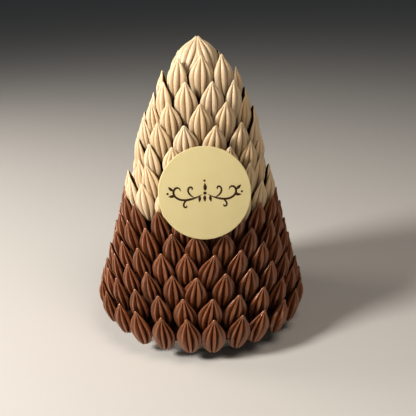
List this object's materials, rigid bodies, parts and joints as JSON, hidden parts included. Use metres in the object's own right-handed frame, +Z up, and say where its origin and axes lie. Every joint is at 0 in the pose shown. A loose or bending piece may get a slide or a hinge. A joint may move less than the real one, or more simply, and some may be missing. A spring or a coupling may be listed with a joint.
{
  "type": "chocolate pyramid",
  "caption": "Tall cone shingled all round with fluted pointed chocolate buds, milk below and ivory above, with a round plaque on its front and a pale foot.",
  "frame": {"origin": "centre of the foot's flat underside, on the pyramid's axis", "axes": "+Z up along the pyramid's axis to the tip of the crown, -Y out of the front, where the plaque leans, +X to the right of someone facing the plaque"},
  "size_m": [0.227, 0.2266, 0.305],
  "materials": {
    "milk_chocolate": "tempered milk chocolate from a mould, satin, with a soft highlight along each ridge",
    "ivory_chocolate": "tempered ivory chocolate from a mould, satin and faintly translucent, warmer in the grooves",
    "plaque_chocolate": "white chocolate cast flat, pale yellow and smooth with an eased rim",
    "dark_chocolate": "dark chocolate spread over the cone and piped on the plaque, near black between the buds",
    "pale_foam": "fine-beaded pale foam, matt"
  },
  "bodies": {
    "root": {"foot": "pale_foam", "course_01": "milk_chocolate", "course_02": "milk_chocolate", "course_03": "milk_chocolate", "course_04": "milk_chocolate", "course_05": "milk_chocolate", "course_06": "milk_chocolate", "course_07": "ivory_chocolate", "course_08": "ivory_chocolate", "course_09": "ivory_chocolate", "course_10": "ivory_chocolate", "course_11": "ivory_chocolate", "course_12": "ivory_chocolate", "course_13": "ivory_chocolate", "crown": "ivory_chocolate", "plaque": "plaque_chocolate"}
  },
  "joints": []
}
